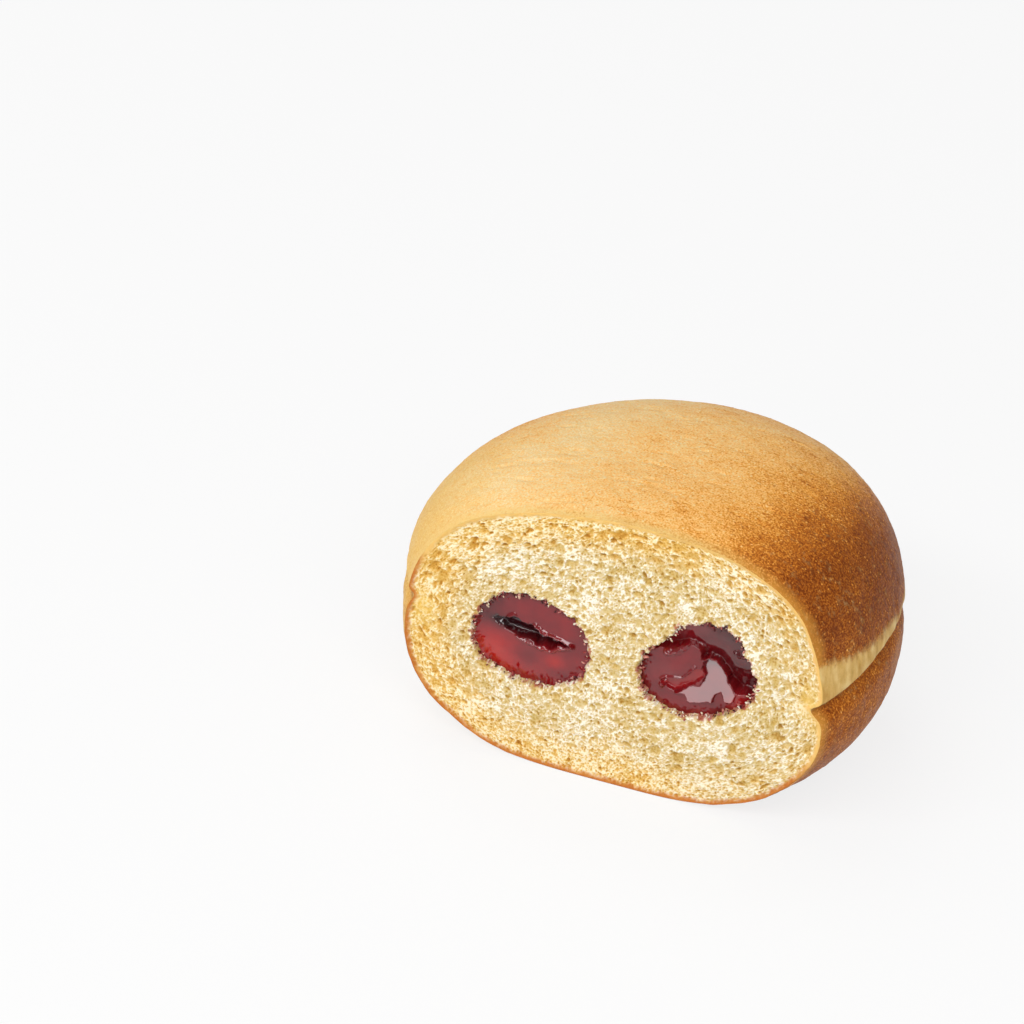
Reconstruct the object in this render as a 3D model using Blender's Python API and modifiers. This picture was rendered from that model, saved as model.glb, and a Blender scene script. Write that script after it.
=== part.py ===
"""A jelly filled doughnut with one side cut away.

One round, puffed dough body with a pinched seam round its waist stands on a small flat
spot. A straight, upright cut has taken off the side that faces -Y and opened two pockets
of red fruit jelly, which run back into the dough.

Units are metres and +Z is up. The origin is under the middle of the finished piece.
"""

from math import atan2, cos, exp, hypot, pi, radians, sin

import bmesh
import bpy
from mathutils import Vector

MM = 0.001

# Dough body, as it was before the cut. Its axis is the Z axis until the last step.
RADIUS = 43.0 * MM
HEIGHT = 52.5 * MM
WIDEST_HEIGHT = 19.4 * MM   # level where the dome meets the rounded underside
BASE_RADIUS = 20.0 * MM     # flat spot that it rests on
DOME_ROUNDNESS = 2.9        # exponent of the rounded outline: 2 is an ellipse, more is squarer
BELLY_OUT = 2.1             # the same for the underside, outwards
BELLY_UP = 1.75             # and upwards
BODY_STEPS = 72             # facets round the body
DOME_LEVELS = 13
BELLY_LEVELS = 9

# Unevenness of a hand shaped doughnut, as fractions of the radius.
OVAL = 0.011                # wider from front to back than from side to side
OFF_CENTRE = 0.028          # the back bulges further out than the front
THREE_SIDED = 0.007
RISE_RIGHT = 0.045          # the crown climbs by this much for each unit to the right
RISE_FRONT = 0.028          # and for each unit to the front

# Seam: the pinched crease between the upper and the lower half.
SEAM_HEIGHT = 27.0 * MM
SEAM_WANDER = 1.6 * MM      # the crease climbs and falls by this much
SEAM_WAVES = 4
SEAM_PHASE = radians(10)
SEAM_LEAN = 1.3 * MM        # and it leans up towards this side
SEAM_LEAN_SIDE = radians(150)
SEAM_REACH = 9.0 * MM       # how far above and below the crease the dough follows it
SEAM_DEPTH = 1.4 * MM
SEAM_DEEPER_RIGHT = 0.3     # share by which it is deeper on the right and shallower on the left
SEAM_LIP = 0.9 * MM         # the upper half overhangs: a short, steep wall above the crease
SEAM_SLOPE = 2.0 * MM       # and a longer slope below it
SEAM_LEVELS = 9
SEAM_BAND = 7.2 * MM        # height of the zone with closely spaced levels

# Cut and pockets.
CUT_FROM_AXIS = 19.5 * MM
GAP = 0.3 * MM              # clearance between the jelly and the wall of its pocket
POCKET_STEPS = 40
POCKET_LEVELS = 9
POCKET_TAPER = 2.6          # exponent of the pocket's long outline, from the cut to its tip
RECESS = 0.5 * MM           # the jelly's edge lies this far behind the cut
OVERCUT = 4.0 * MM          # how far a cutter reaches out of the dough

# Each pocket: centre of its mouth across and up, half width, half height, tilt of its long
# axis, length from the cut to the tip, drift of the tip across and up, hollow in the middle
# of the jelly's face, and how three sided its mouth is, with the angle of the first corner.
POCKETS = {
    "left": dict(across=-15.0 * MM, up=24.6 * MM, half_width=10.4 * MM, half_height=8.8 * MM,
                 tilt=radians(-14), length=33 * MM, drift_across=3.0 * MM, drift_up=-1.5 * MM,
                 hollow=2.6 * MM, corners=0.02, corner_angle=radians(40)),
    "right": dict(across=15.1 * MM, up=26.5 * MM, half_width=10.4 * MM, half_height=8.9 * MM,
                  tilt=radians(36), length=30 * MM, drift_across=-3.0 * MM, drift_up=-1.0 * MM,
                  hollow=1.2 * MM, corners=0.05, corner_angle=radians(70)),
}

COLOURS = {
    "dough": (0.62, 0.30, 0.085, 1.0),
    "jelly": (0.20, 0.006, 0.014, 1.0),
}


def superellipse(turn, out, up):
    """A point on a rounded quarter outline of size 1: (0, 1) at turn 0, (1, 0) at turn 1."""
    angle = turn * pi / 2
    return sin(angle) ** (2 / out), cos(angle) ** (2 / up)


def dome_radius(height):
    """Radius of the smooth body at a height above its widest level."""
    share = min((height - WIDEST_HEIGHT) / (HEIGHT - WIDEST_HEIGHT), 1.0)
    return RADIUS * (1 - share ** DOME_ROUNDNESS) ** (1 / DOME_ROUNDNESS)


def body_profile():
    """Half outline of the body as (radius, height), from the crown down to the base's middle."""
    seam_top = SEAM_HEIGHT + SEAM_BAND / 2
    seam_foot = SEAM_HEIGHT - SEAM_BAND / 2
    points = []
    for level in range(DOME_LEVELS + 1):
        out, up = superellipse(level / DOME_LEVELS, DOME_ROUNDNESS, DOME_ROUNDNESS)
        height = WIDEST_HEIGHT + (HEIGHT - WIDEST_HEIGHT) * up
        if height > seam_top + SEAM_BAND / SEAM_LEVELS:
            points.append((RADIUS * out, height))
    for level in range(SEAM_LEVELS + 1):
        height = seam_top + (seam_foot - seam_top) * level / SEAM_LEVELS
        points.append((dome_radius(height), height))
    for level in range(BELLY_LEVELS + 1):
        up, out = superellipse(level / BELLY_LEVELS, BELLY_UP, BELLY_OUT)
        points.append((BASE_RADIUS + (RADIUS - BASE_RADIUS) * out, WIDEST_HEIGHT * (1 - up)))
    points.append((0.0, 0.0))
    return points


def turned_mesh(name, profile, steps):
    """A closed mesh turned round the Z axis from (radius, height) points, top to bottom."""
    outline = bpy.data.meshes.new(name + "_profile")
    corners = [(radius, 0.0, height) for radius, height in profile]
    outline.from_pydata(corners, [(i, i + 1) for i in range(len(corners) - 1)], [])
    guide = bpy.data.objects.new(name + "_profile", outline)
    bpy.context.scene.collection.objects.link(guide)
    screw = guide.modifiers.new("Turn", "SCREW")
    screw.steps = steps
    screw.render_steps = steps
    screw.use_merge_vertices = True
    screw.merge_threshold = 0.00001
    bpy.context.view_layer.update()
    evaluated = guide.evaluated_get(bpy.context.evaluated_depsgraph_get())
    mesh = bpy.data.meshes.new_from_object(evaluated)
    mesh.name = name
    bpy.data.objects.remove(guide)
    return mesh


def uneven_body(point):
    """Move a point of the turned body to where the real, uneven dough has it."""
    angle = atan2(point.y, point.x)
    radius = hypot(point.x, point.y)
    above_seam = point.z - SEAM_HEIGHT
    wander = SEAM_WANDER * cos(SEAM_WAVES * (angle - SEAM_PHASE))
    wander += SEAM_LEAN * cos(angle - SEAM_LEAN_SIDE)
    height = point.z + wander * exp(-(above_seam / SEAM_REACH) ** 2)
    reach = SEAM_LIP if above_seam > 0 else SEAM_SLOPE
    crease = SEAM_DEPTH * (1 + SEAM_DEEPER_RIGHT * cos(angle)) * exp(-(above_seam / reach) ** 2)
    wobble = 1 + OFF_CENTRE * sin(angle) - OVAL * cos(2 * angle) - THREE_SIDED * cos(3 * angle)
    radius = radius * wobble - crease
    across, depth = radius * cos(angle), radius * sin(angle)
    climb = (RISE_RIGHT * across - RISE_FRONT * depth) * height / HEIGHT
    return Vector((across, depth, height + climb))


def make_body():
    """The whole dough body before the cut."""
    mesh = turned_mesh("dough", body_profile(), BODY_STEPS)
    for vertex in mesh.vertices:
        vertex.co = uneven_body(vertex.co)
    return mesh


def mouth_radius(angle, pocket):
    """Distance from the middle of a pocket's mouth to its edge, in the pocket's own turn."""
    half_width, half_height = pocket["half_width"], pocket["half_height"]
    ellipse = half_width * half_height / hypot(half_height * cos(angle), half_width * sin(angle))
    return ellipse * (1 + pocket["corners"] * cos(3 * (angle - pocket["corner_angle"])))


def pocket_profile(pocket, shrink, front):
    """Half outline of a pocket as (share of its mouth, way in from the cut), tip first."""
    length = pocket["length"] - shrink
    points = []
    for level in range(POCKET_LEVELS + 1):
        share, way = superellipse(level / POCKET_LEVELS, POCKET_TAPER, POCKET_TAPER)
        points.append((share, max(way * length, front)))
    points.append((1.0, front))
    points += [(0.85, front), (0.6, front), (0.3, front), (0.0, front)]
    return [point for i, point in enumerate(points) if point not in points[:i]]


def pocket_mesh(name, pocket, shrink, front, hollow):
    """A pocket's body: turned round Z, then stood along +Y and given its uneven section."""
    mesh = turned_mesh(name, pocket_profile(pocket, shrink, front), POCKET_STEPS)
    for vertex in mesh.vertices:
        share, way = hypot(vertex.co.x, vertex.co.y), vertex.co.z
        angle = atan2(vertex.co.y, vertex.co.x)
        reach = share * (mouth_radius(angle, pocket) - shrink)
        drift = max(way / pocket["length"], 0.0) ** 2
        if abs(way - front) < GAP / 10:
            way += hollow * (1 - share ** 2) ** 2
        turned = angle + pocket["tilt"]
        vertex.co = Vector((
            pocket["across"] + reach * cos(turned) + drift * pocket["drift_across"],
            way - CUT_FROM_AXIS,
            pocket["up"] + reach * sin(turned) + drift * pocket["drift_up"]))
    mesh.update()
    return mesh


def face_outwards(mesh):
    """Point all faces of a closed mesh outwards."""
    work = bmesh.new()
    work.from_mesh(mesh)
    bmesh.ops.recalc_face_normals(work, faces=work.faces)
    work.to_mesh(mesh)
    work.free()


def make_material(name, colour, roughness):
    material = bpy.data.materials.new(name)
    material.use_nodes = True
    shader = material.node_tree.nodes["Principled BSDF"]
    shader.inputs["Base Color"].default_value = colour
    shader.inputs["Roughness"].default_value = roughness
    shader.inputs["Metallic"].default_value = 0.0
    return material


def add_object(name, mesh, collection):
    face_outwards(mesh)
    thing = bpy.data.objects.new(name, mesh)
    collection.objects.link(thing)
    return thing


def add_cutter(name, mesh, collection):
    cutter = add_object(name, mesh, collection)
    cutter.hide_render = True
    cutter.display_type = "WIRE"
    return cutter


def take_away(thing, cutter):
    modifier = thing.modifiers.new("Cut " + cutter.name, "BOOLEAN")
    modifier.operation = "DIFFERENCE"
    modifier.solver = "EXACT"
    modifier.object = cutter


def slab_mesh(name):
    """A block over everything in front of the cut."""
    size = 4 * RADIUS
    mesh = bpy.data.meshes.new(name)
    work = bmesh.new()
    bmesh.ops.create_cube(work, size=size)
    bmesh.ops.translate(work, verts=work.verts, vec=(0.0, -CUT_FROM_AXIS - size / 2, 0.0))
    work.to_mesh(mesh)
    work.free()
    return mesh


def middle_of(mesh):
    """The middle of the body that the cut leaves, across and in depth."""
    kept = [vertex.co for vertex in mesh.vertices if vertex.co.y >= -CUT_FROM_AXIS]
    across = (min(c.x for c in kept) + max(c.x for c in kept)) / 2
    depth = (max(c.y for c in kept) - CUT_FROM_AXIS) / 2
    return Vector((across, depth, 0.0))


def main():
    for thing in list(bpy.data.objects):
        bpy.data.objects.remove(thing)
    parts = bpy.data.collections.new("jelly_doughnut")
    cutters = bpy.data.collections.new("cutters")
    for collection in (parts, cutters):
        bpy.context.scene.collection.children.link(collection)

    body = make_body()
    middle = middle_of(body)
    dough = add_object("dough", body, parts)
    dough.data.materials.append(make_material("baked_dough", COLOURS["dough"], 0.6))
    made, tools = [dough], [add_cutter("slab", slab_mesh("slab"), cutters)]

    jelly_finish = make_material("red_jelly", COLOURS["jelly"], 0.15)
    for side, pocket in POCKETS.items():
        hole = pocket_mesh("pocket_" + side, pocket, 0.0, -OVERCUT, 0.0)
        tools.append(add_cutter("pocket_" + side, hole, cutters))
        filling = pocket_mesh("jelly_" + side, pocket, GAP, RECESS, pocket["hollow"])
        jelly = add_object("jelly_" + side, filling, parts)
        jelly.data.materials.append(jelly_finish)
        made.append(jelly)

    for thing in made + tools:
        thing.location = -middle
    for cutter in tools:
        take_away(dough, cutter)
    for thing in made:
        thing.data.shade_smooth()
        thing.data.set_sharp_from_angle(angle=radians(40))


main()
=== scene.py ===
"""The looks of the cut jelly doughnut.

Dense meshes replace the three CAD nodes: a crust dome, a crust underside, a crumb face full
of pores, two jellies with wet folds, and crumbs round the rims of the pockets. They repeat
the shape of the CAD solids, so they sit in the same place.
"""

from itertools import product
from math import cos, pi, radians, sin

import bmesh
import bpy
import numpy as np
from mathutils import Matrix, Vector


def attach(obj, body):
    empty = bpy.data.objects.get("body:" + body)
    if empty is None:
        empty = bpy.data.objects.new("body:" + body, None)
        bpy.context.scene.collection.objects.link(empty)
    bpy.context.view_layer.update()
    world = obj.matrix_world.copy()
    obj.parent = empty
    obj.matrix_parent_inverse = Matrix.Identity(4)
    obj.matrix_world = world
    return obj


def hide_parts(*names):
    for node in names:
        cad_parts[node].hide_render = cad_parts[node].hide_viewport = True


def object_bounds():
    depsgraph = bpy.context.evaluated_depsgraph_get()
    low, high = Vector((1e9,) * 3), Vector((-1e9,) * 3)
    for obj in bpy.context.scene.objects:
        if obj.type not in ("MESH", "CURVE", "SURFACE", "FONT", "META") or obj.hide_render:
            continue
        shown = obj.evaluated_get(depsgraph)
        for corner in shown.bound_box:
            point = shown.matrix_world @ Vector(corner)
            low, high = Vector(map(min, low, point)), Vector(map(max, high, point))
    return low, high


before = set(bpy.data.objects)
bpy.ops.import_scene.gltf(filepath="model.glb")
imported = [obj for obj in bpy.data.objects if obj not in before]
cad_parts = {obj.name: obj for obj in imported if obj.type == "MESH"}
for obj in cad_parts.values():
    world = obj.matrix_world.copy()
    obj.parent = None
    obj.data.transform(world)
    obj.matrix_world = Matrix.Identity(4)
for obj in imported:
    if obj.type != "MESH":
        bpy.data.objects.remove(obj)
cad_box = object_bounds()

MM = 0.001

# The dough body, with the dimensions of the CAD solid.
RADIUS = 43.0
HEIGHT = 52.5
WIDEST_HEIGHT = 19.4
BASE_RADIUS = 20.0
DOME_ROUNDNESS = 2.9
BELLY_OUT = 2.1
BELLY_UP = 1.75
OVAL = 0.011
OFF_CENTRE = 0.028
THREE_SIDED = 0.007
RISE_RIGHT = 0.045
RISE_FRONT = 0.028
SEAM_HEIGHT = 27.0
SEAM_WANDER = 1.6
SEAM_WAVES = 4
SEAM_PHASE = radians(10)
SEAM_LEAN = 1.3
SEAM_LEAN_SIDE = radians(150)
SEAM_REACH = 9.0
SEAM_DEPTH = 1.4
SEAM_DEEPER_RIGHT = 0.3
SEAM_LIP = 0.9
SEAM_SLOPE = 2.0
CUT_FROM_AXIS = 19.5

# Pockets, as in the CAD solid. Bulges are where the torn mouth leaves that even shape: the
# angle in degrees, how far out in millimetres, and how wide in degrees.
POCKETS = {
    "left": dict(across=-15.0, up=24.6, half_width=10.4, half_height=8.8, tilt=radians(-14),
                 length=33.0, drift_across=3.0, drift_up=-1.5, corners=0.02,
                 corner_angle=radians(40),
                 bulges=((150, -1.2, 26), (210, 1.3, 24), (332, 0.5, 22), (75, -0.7, 40))),
    "right": dict(across=15.1, up=26.5, half_width=10.4, half_height=8.9, tilt=radians(36),
                  length=30.0, drift_across=-3.0, drift_up=-1.0, corners=0.05,
                  corner_angle=radians(70),
                  bulges=((62, 0.8, 14), (28, -0.5, 16), (134, -1.2, 24), (188, 0.5, 20),
                          (216, 0.4, 16), (305, -0.4, 14))),
}
POCKET_TAPER = 2.6

POCKET_FLOOR = 7.0          # how deep the crumb falls inside a pocket, behind the jelly
SLAB_BACK = 8.0             # back of the crumb's slab
SHELL_BACK = 9.0            # back of the wall that closes the crust inside
SHELL_TIP = 26.0            # where the crust's closing faces meet, behind both jellies

# Fineness of the meshes: cells along each side of a piece's grid.
CRUST_CELLS = 330
CRUMB_CELLS = (370, 254)
JELLY_CELLS = 250

# Camera: azimuth and elevation of the view, its turn round its own axis, how far it stands,
# and where the middle of the body lies in the picture, as tangents across and down.
VIEW_AZIMUTH = radians(17.75)
VIEW_ELEVATION = radians(33.0)
VIEW_TURN = radians(-4.6)
VIEW_DISTANCE = 1.0
VIEW_HEIGHT = 22.0
VIEW_ACROSS = 0.0238
VIEW_DOWN = 0.0179
LENS = 206.1
SENSOR = 36.0


# ------------------------------ noise and small helpers

def smoothstep(low, high, value):
    share = np.clip((value - low) / (high - low), 0.0, 1.0)
    return share * share * (3 - 2 * share)


def chance(cells, seed):
    """A number from -1 to 1 for each cell of a lattice, always the same for the same cell."""
    mixed = cells[..., 0] * 73856093 ^ cells[..., 1] * 19349663 ^ (seed * 83492791)
    if cells.shape[-1] == 3:
        mixed = mixed ^ cells[..., 2] * 49979687
    mixed = (mixed ^ (mixed >> 13)) * 1274126177 & 0x7FFFFFFF
    mixed = (mixed ^ (mixed >> 15)) * 668265263 & 0x7FFFFFFF
    return mixed / 0x3FFFFFFF - 1


def value_noise(points, seed):
    """Smooth noise from -1 to 1 at points, an array whose last axis is 2 or 3 long."""
    cell = np.floor(points).astype(np.int64)
    inside = points - cell
    fade = inside * inside * (3 - 2 * inside)
    total = np.zeros(points.shape[:-1])
    for corner in product((0, 1), repeat=points.shape[-1]):
        weight = np.prod(np.where(np.array(corner) == 1, fade, 1 - fade), axis=-1)
        total += weight * chance(cell + np.array(corner), seed)
    return total


def fractal(points, size, seed, octaves=3, gain=0.5):
    """Noise with finer noise on it, from about -1 to 1. Its largest lumps are size across."""
    total, weight, most = 0.0, 1.0, 0.0
    for octave in range(octaves):
        total = total + weight * value_noise(points * (2 ** octave / size), seed + octave)
        most += weight
        weight *= gain
    return total / most


def srgb(red, green, blue):
    """A colour written as 0 to 255 values, as linear light."""
    linear = [(c / 255 / 12.92 if c <= 10 else ((c / 255 + 0.055) / 1.055) ** 2.4)
              for c in (red, green, blue)]
    return (*linear, 1.0)


def disc_grid(cells_across, cells_up):
    """A square grid pulled to a disc: distance from the middle, 0 to 1, angle, and x and y."""
    a, b = np.meshgrid(np.linspace(-1, 1, cells_across + 1), np.linspace(-1, 1, cells_up + 1))
    x, y = a * np.sqrt(1 - b * b / 2), b * np.sqrt(1 - a * a / 2)
    return np.hypot(x, y), np.arctan2(y, x), x, y


def grid_normals(points):
    """Unit normals of a grid of points."""
    along_up, along_across = np.gradient(points, axis=(0, 1))
    normals = np.cross(along_across, along_up)
    return normals / np.maximum(np.linalg.norm(normals, axis=-1, keepdims=True), 1e-12)


def grid_faces(rows, columns):
    """Faces of a grid of points, each as the numbers of its four corners."""
    index = np.arange(rows * columns).reshape(rows, columns)
    corners = (index[:-1, :-1], index[:-1, 1:], index[1:, 1:], index[1:, :-1])
    return np.stack([corner.ravel() for corner in corners], axis=1)


def grid_ring(rows, columns):
    """Numbers of the points round the edge of a grid, in order."""
    return np.concatenate([np.arange(columns - 1), np.arange(rows - 1) * columns + columns - 1,
                           (rows - 1) * columns + np.arange(columns - 1, 0, -1),
                           np.arange(rows - 1, 0, -1) * columns])


def make_mesh(name, points, faces, uv, values):
    """A mesh from an array of points, with a UV map for baking and named values per point."""
    mesh = bpy.data.meshes.new(name)
    mesh.from_pydata(points.reshape(-1, 3), [], faces)
    layer = mesh.uv_layers.new(name="OFBake")
    corner_points = np.zeros(len(mesh.loops), int)
    mesh.loops.foreach_get("vertex_index", corner_points)
    layer.data.foreach_set("uv", uv.reshape(-1, 2)[corner_points].ravel())
    for key, value in values.items():
        mesh.attributes.new(key, "FLOAT", "POINT").data.foreach_set("value", value.ravel())
    mesh.shade_smooth()
    return mesh


def show(thing):
    bpy.context.scene.collection.objects.link(thing)


def add_piece(name, mesh, material, slot, *nodes):
    piece = bpy.data.objects.new(name, mesh)
    show(piece)
    mesh.materials.append(material)
    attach(piece, "root")
    if nodes:
        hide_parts(*nodes)


# ------------------------------ shape of the dough body

def body_outline():
    """Half outline of the smooth body: arc length from the crown, radius and height."""
    turn = np.linspace(0, pi / 2, 500)
    dome_out = RADIUS * np.sin(turn) ** (2 / DOME_ROUNDNESS)
    dome_up = WIDEST_HEIGHT + (HEIGHT - WIDEST_HEIGHT) * np.cos(turn) ** (2 / DOME_ROUNDNESS)
    belly_out = BASE_RADIUS + (RADIUS - BASE_RADIUS) * np.cos(turn) ** (2 / BELLY_OUT)
    belly_up = WIDEST_HEIGHT * (1 - np.sin(turn) ** (2 / BELLY_UP))
    out = np.concatenate([dome_out, belly_out[1:], [0.0]])
    up = np.concatenate([dome_up, belly_up[1:], [0.0]])
    arc = np.concatenate([[0.0], np.cumsum(np.hypot(np.diff(out), np.diff(up)))])
    return arc, out, up


ARC, ARC_OUT, ARC_UP = body_outline()
SEAM_ARC = float(np.interp(-SEAM_HEIGHT, -ARC_UP, ARC))


def wobble(angle):
    return (1 + OFF_CENTRE * np.sin(angle) - OVAL * np.cos(2 * angle)
            - THREE_SIDED * np.cos(3 * angle))


def seam_wander(angle):
    return (SEAM_WANDER * np.cos(SEAM_WAVES * (angle - SEAM_PHASE))
            + SEAM_LEAN * np.cos(angle - SEAM_LEAN_SIDE))


def body_points(arc, angle):
    """Points on the uneven body, in millimetres from the foot of its axis."""
    out, level = np.interp(arc, ARC, ARC_OUT), np.interp(arc, ARC, ARC_UP)
    above_seam = level - SEAM_HEIGHT
    height = level + seam_wander(angle) * np.exp(-(above_seam / SEAM_REACH) ** 2)
    reach = np.where(above_seam > 0, SEAM_LIP, SEAM_SLOPE)
    crease = SEAM_DEPTH * (1 + SEAM_DEEPER_RIGHT * np.cos(angle))
    out = out * wobble(angle) - crease * np.exp(-(above_seam / reach) ** 2)
    across, depth = out * np.cos(angle), out * np.sin(angle)
    climb = (RISE_RIGHT * across - RISE_FRONT * depth) * height / HEIGHT
    return np.stack([across, depth, height + climb], axis=-1)


TURN = np.linspace(-pi, pi, 3601)
WIDEST_RIGHT = float(np.max(RADIUS * wobble(TURN) * np.cos(TURN)))
AXIS = np.array([cad_box[1].x / MM - WIDEST_RIGHT, cad_box[0].y / MM + CUT_FROM_AXIS, 0.0])


def to_frame(points):
    """From millimetres round the body's axis to the frame's metres."""
    return (points + AXIS) * MM


def from_frame(points):
    return points / MM - AXIS


def mesh_points(mesh):
    flat = np.zeros(len(mesh.vertices) * 3)
    mesh.vertices.foreach_get("co", flat)
    return from_frame(flat.reshape(-1, 3))


# ------------------------------ crust

def blisters(points, size, share, seed):
    """Small round bumps, 0 to 1, one in some of the cells of a lattice."""
    cell = np.floor(points / size)
    best = np.zeros(points.shape[:-1])
    for corner in product((-1, 0, 1), repeat=3):
        here = cell + np.array(corner)
        spot = [value_noise(here * 7.31 + 0.5, seed + k) for k in range(4)]
        centre = (here + 0.5 + 0.9 * np.stack(spot[:3], axis=-1)) * size
        reach = size * (0.22 + 0.14 * spot[3])
        distance = np.linalg.norm(points - centre, axis=-1)
        bump = np.clip(1 - (distance / reach) ** 2, 0, 1)
        best = np.maximum(best, bump * (spot[3] * 0.5 + 0.5 < share))
    return best


# Unevenness of the crust: height and size across in millimetres, and a seed.
CRUST_LUMPS = ((0.30, 14.0, 11), (0.10, 3.2, 21), (0.055, 1.1, 31))
BLISTER_HEIGHT = 0.07
WRINKLE_HEIGHT = 0.16


def crust_relief(points, above_seam):
    """How far the crust stands out from the smooth body, in millimetres."""
    relief = 0.0
    for height, size, seed in CRUST_LUMPS:
        relief = relief + height * fractal(points, size, seed, 2)
    relief = relief + BLISTER_HEIGHT * blisters(points, 1.7, 0.45, 41)
    stretched = points * np.array([1.0, 1.0, 0.22])
    wrinkles = np.exp(-((above_seam - 3.0) / 4.0) ** 2) + 0.7 * smoothstep(-1.0, -3.0, above_seam)
    relief = relief + WRINKLE_HEIGHT * wrinkles * fractal(stretched, 1.6, 51, 2)
    creased = fractal(points * np.array([0.3, 1.0, 1.0]), 1.5, 55, 2)
    on_crown = smoothstep(20.0, 24.0, above_seam)
    return relief - WRINKLE_HEIGHT * on_crown * smoothstep(0.25, 0.7, creased)


# How baked the dome is from left to right, over the crown: millimetres of crust, and a place
# on the scale of CRUST_STOPS. The pale dip left of the crown is partly paler crust and partly
# a painted sheen.
BAKE_ACROSS = (-60, -48, -34, -22, -8, 6, 14, 20, 26, 34, 44, 52)
BAKE_AND_SHEEN_DOME = (0.30, 0.26, 0.20, 0.16, 0.29, 0.37, 0.44, 0.54, 0.71, 0.89, 0.93, 0.92)
# Height of the pale band over the crease, by angle round the body in degrees.
BAND_ANGLE = (-180, -150, -90, -26, -15, 0, 12, 24, 40, 70, 120, 180)
BAND_HEIGHT = (1.5, 1.5, 3.0, 7.0, 5.4, 3.6, 2.4, 3.5, 7.0, 8.0, 6.0, 1.5)


def crust_values(points, arc, dome):
    """How baked, golden, raw and wrinkled the crust is at points on it; also a painted highlight
    on the crease's lip and a painted shadow under it.
    """
    angle = np.arctan2(points[:, 1], points[:, 0])
    map_across, map_depth = arc * np.cos(angle), arc * np.sin(angle)
    drift = 1.8 * fractal(points, 9.0, 61, 3) + 1.2 * fractal(points, 2.4, 71, 2)
    back = smoothstep(27.0, 43.0, map_depth + drift)
    backward = smoothstep(-8.0, 24.0, map_depth + 2.0 * drift)
    left = smoothstep(-22.0, -44.0, map_across + 1.5 * drift) * (1 - backward)
    band = np.interp(np.degrees(angle), BAND_ANGLE, BAND_HEIGHT)
    above = SEAM_ARC - arc + 0.5 * fractal(points, 3.0, 91, 2)
    if dome:
        slanted = map_across - 0.25 * (map_depth + 10.0)
        # Paler left of the crown: partly paler crust, partly a painted sheen.
        bake = np.interp(slanted + drift, BAKE_ACROSS, BAKE_AND_SHEEN_DOME)
        browner = 0.38 * backward * smoothstep(-14.0, -42.0, map_across + drift)
        bake = (bake + browner) * (1 - back) + 0.80 * back
        raw = 1 - smoothstep(band - 1.6, band + 1.4, above)
        bake = bake - 0.08 * (1 - smoothstep(band, band + 5.0, above))
    else:
        bake = 0.80 - 0.16 * left + 0.12 * smoothstep(SEAM_ARC + 8, SEAM_ARC + 30, arc)
        raw = 1 - smoothstep(0.15, 0.45, -above)
    bake = bake + 0.06 * fractal(points, 6.0, 81, 3)
    from_cut = points[:, 1] + CUT_FROM_AXIS + 0.6 * fractal(points, 1.6, 85, 2)
    near_cut = 1 - smoothstep(0.2, 2.6, from_cut)
    # A painted highlight along the lip over the crease, and a painted shadow in the crease below
    # it on the underside.
    painted_lip_highlight = np.exp(-((above - 0.35) / 0.35) ** 2) if dome else np.zeros(len(arc))
    painted_shade = np.exp(-((above + 0.3) / 0.5) ** 2) * (not dome)
    return {"bake": np.clip(bake, 0, 1), "raw": raw, "near_cut": near_cut, "yellow": left,
            "painted_lip_highlight": painted_lip_highlight, "painted_shade": painted_shade}


def close_behind(work, cut_depth, inner):
    """Close an open crust: a wall back from the cut, then faces to one inner point."""
    at_cut = [e for e in work.edges if e.is_boundary
              and all(abs(v.co.y - cut_depth) < 0.01 * MM for v in e.verts)]
    wall = bmesh.ops.extrude_edge_only(work, edges=at_cut)["geom"]
    moved = [g for g in wall if isinstance(g, bmesh.types.BMVert)]
    for vertex in moved:
        vertex.co.y += SHELL_BACK * MM
        vertex.co.x *= 0.99
    middle = work.verts.new(inner)
    for edge in [e for e in work.edges if e.is_boundary]:
        loop = edge.link_loops[0]
        first, second = loop.vert, loop.link_loop_next.vert
        face = work.faces.new((second, first, middle))
        face.smooth = False


def put_in_order(parts, place):
    """Sort a mesh's points or faces by place, because a cut leaves them in any order."""
    rank = {part: number for number, part in enumerate(sorted(parts, key=place))}
    parts.sort(key=rank.get)
    parts.index_update()


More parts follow.
